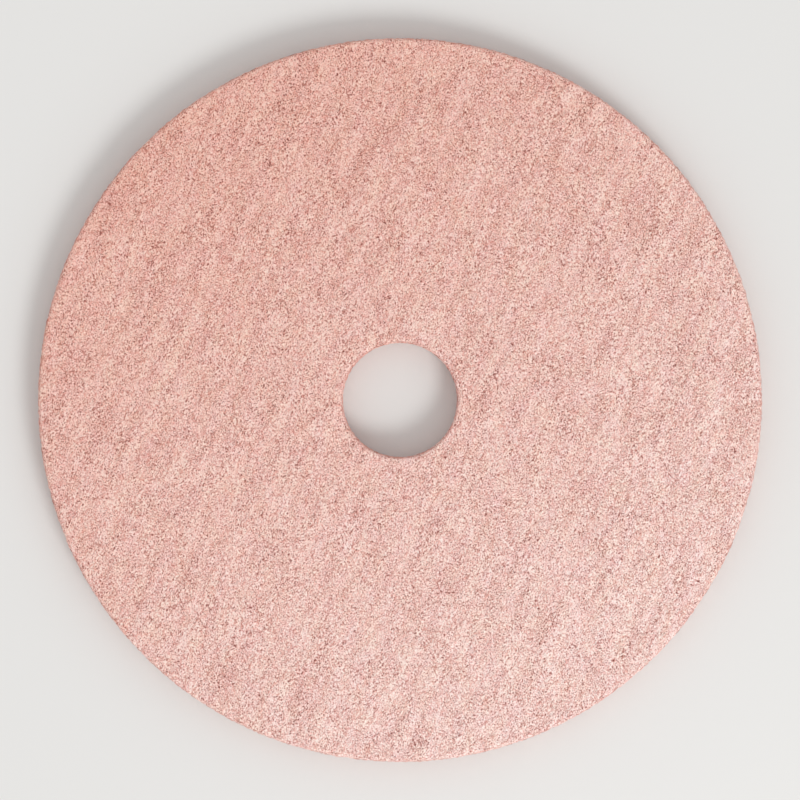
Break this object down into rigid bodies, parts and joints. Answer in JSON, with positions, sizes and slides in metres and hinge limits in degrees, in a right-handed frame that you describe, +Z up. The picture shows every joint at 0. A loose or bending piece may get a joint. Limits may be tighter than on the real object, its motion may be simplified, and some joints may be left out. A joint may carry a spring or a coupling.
{
  "type": "floor polishing pad",
  "caption": "Flat round pad of lofty nonwoven fibre with a round centre hole, turned face down by a floor machine to polish hard floors.",
  "frame": {"origin": "centre of the pad's lower face, on the axis of the hole", "axes": "+Z up along the axis of the hole, through the thickness; X and Y lie in the lower face"},
  "size_m": [0.5334, 0.5334, 0.0254],
  "materials": {
    "fibre_web": "matt pink nonwoven fibre bonded with resin"
  },
  "bodies": {
    "root": {"pad": "fibre_web"}
  },
  "joints": []
}
